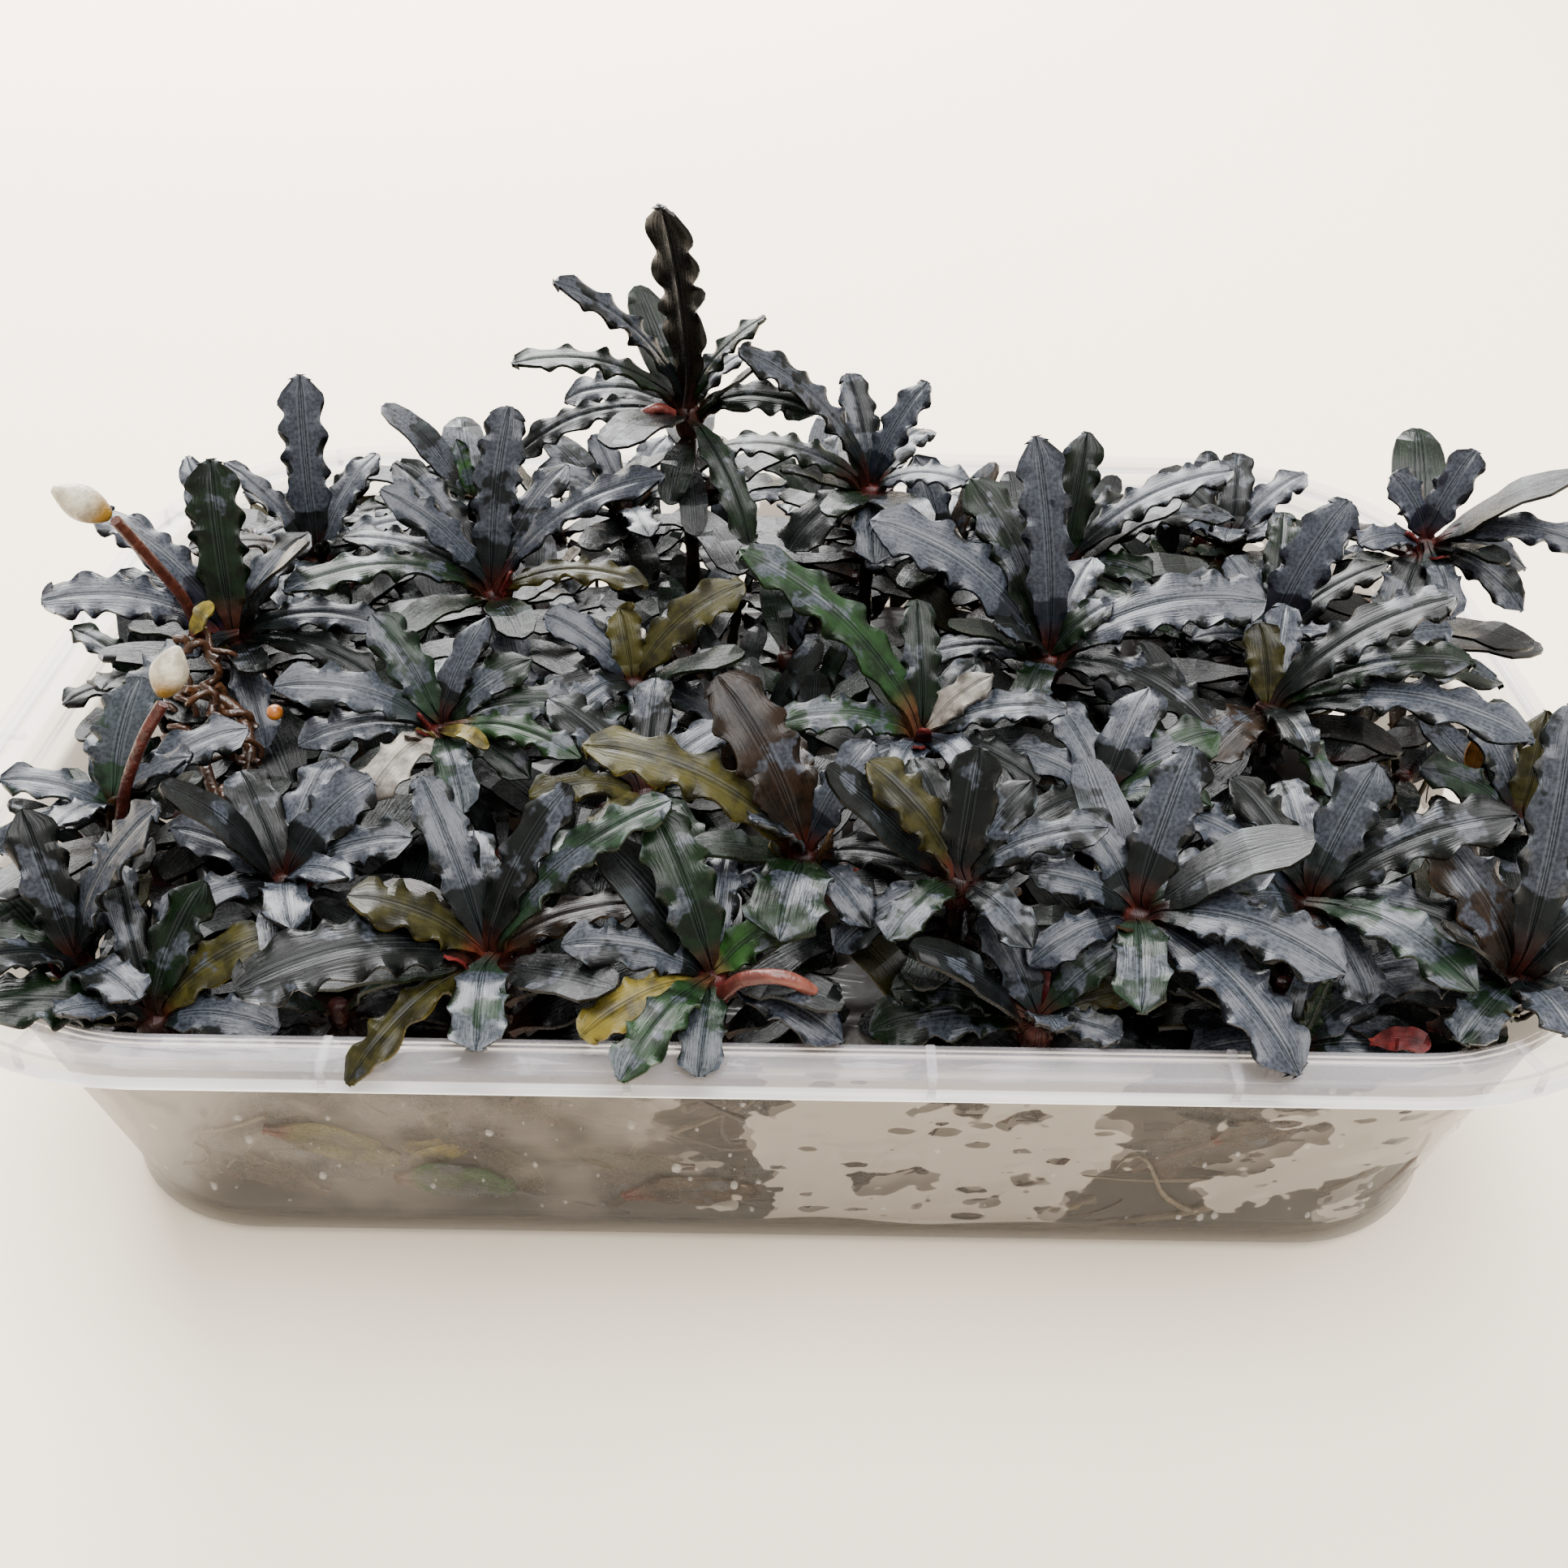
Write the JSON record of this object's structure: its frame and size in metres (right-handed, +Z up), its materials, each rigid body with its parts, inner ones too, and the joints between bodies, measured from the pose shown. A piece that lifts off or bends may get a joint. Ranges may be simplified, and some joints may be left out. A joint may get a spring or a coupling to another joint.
{
  "type": "bucephalandra clump in a clear tub",
  "caption": "Dense clump of dark, wavy-edged aquarium plants rooted in a low clear plastic tub with round corners, with red stalks, pale flower buds and loose roots.",
  "frame": {"origin": "centre of the tub's flat underside", "axes": "+X along the tub's long side, +Y to the back as seen in the picture, +Z up"},
  "size_m": [0.1729, 0.1232, 0.0876],
  "materials": {
    "clear_plastic": "hazy clear, with droplets and dirt on the inside",
    "water": "still shallow water",
    "roots": "matte wet brown roots",
    "pebble": "dull grey",
    "leaf": "satin, black-green to slate with pale speckles",
    "green_leaf": "satin olive green",
    "brown_leaf": "wet brown",
    "stalk": "smooth red",
    "bud": "smooth cream",
    "fruit": "smooth orange"
  },
  "bodies": {
    "root": {"arched_stalk_1": "stalk", "arched_stalk_2": "stalk", "berry": "fruit", "bud_stalk_1": "stalk", "bud_stalk_2": "stalk", "fallen_leaf_1": "brown_leaf", "fallen_leaf_2": "brown_leaf", "fallen_leaf_3": "green_leaf", "fallen_leaf_4": "green_leaf", "flower_bud_1": "bud", "flower_bud_2": "bud", "plant_01": "leaf", "plant_02": "leaf", "plant_03": "leaf", "plant_04": "leaf", "plant_05": "leaf", "plant_06": "leaf", "plant_07": "leaf", "plant_08": "leaf", "plant_09": "leaf", "plant_10": "leaf", "plant_11": "leaf", "plant_12": "leaf", "plant_13": "leaf", "plant_14": "leaf", "plant_15": "leaf", "plant_16": "leaf", "plant_17": "leaf", "plant_18": "leaf", "plant_19": "leaf", "plant_20": "leaf", "plant_21": "leaf", "plant_22": "leaf", "plant_23": "leaf", "plant_24": "leaf", "plant_25": "leaf", "plant_26": "leaf", "plant_27": "leaf", "plant_28": "leaf", "plant_29": "leaf", "plant_30": "leaf", "plant_31": "leaf", "plant_32": "leaf", "plant_33": "leaf", "plant_34": "leaf", "plant_35": "leaf", "plant_36": "leaf", "root_1": "roots", "root_2": "roots", "root_3": "roots", "root_mat": "roots", "stone_1": "pebble", "stone_2": "pebble", "stone_3": "pebble", "stone_4": "pebble", "stone_5": "pebble", "tub": "clear_plastic", "water": "water"}
  },
  "joints": []
}
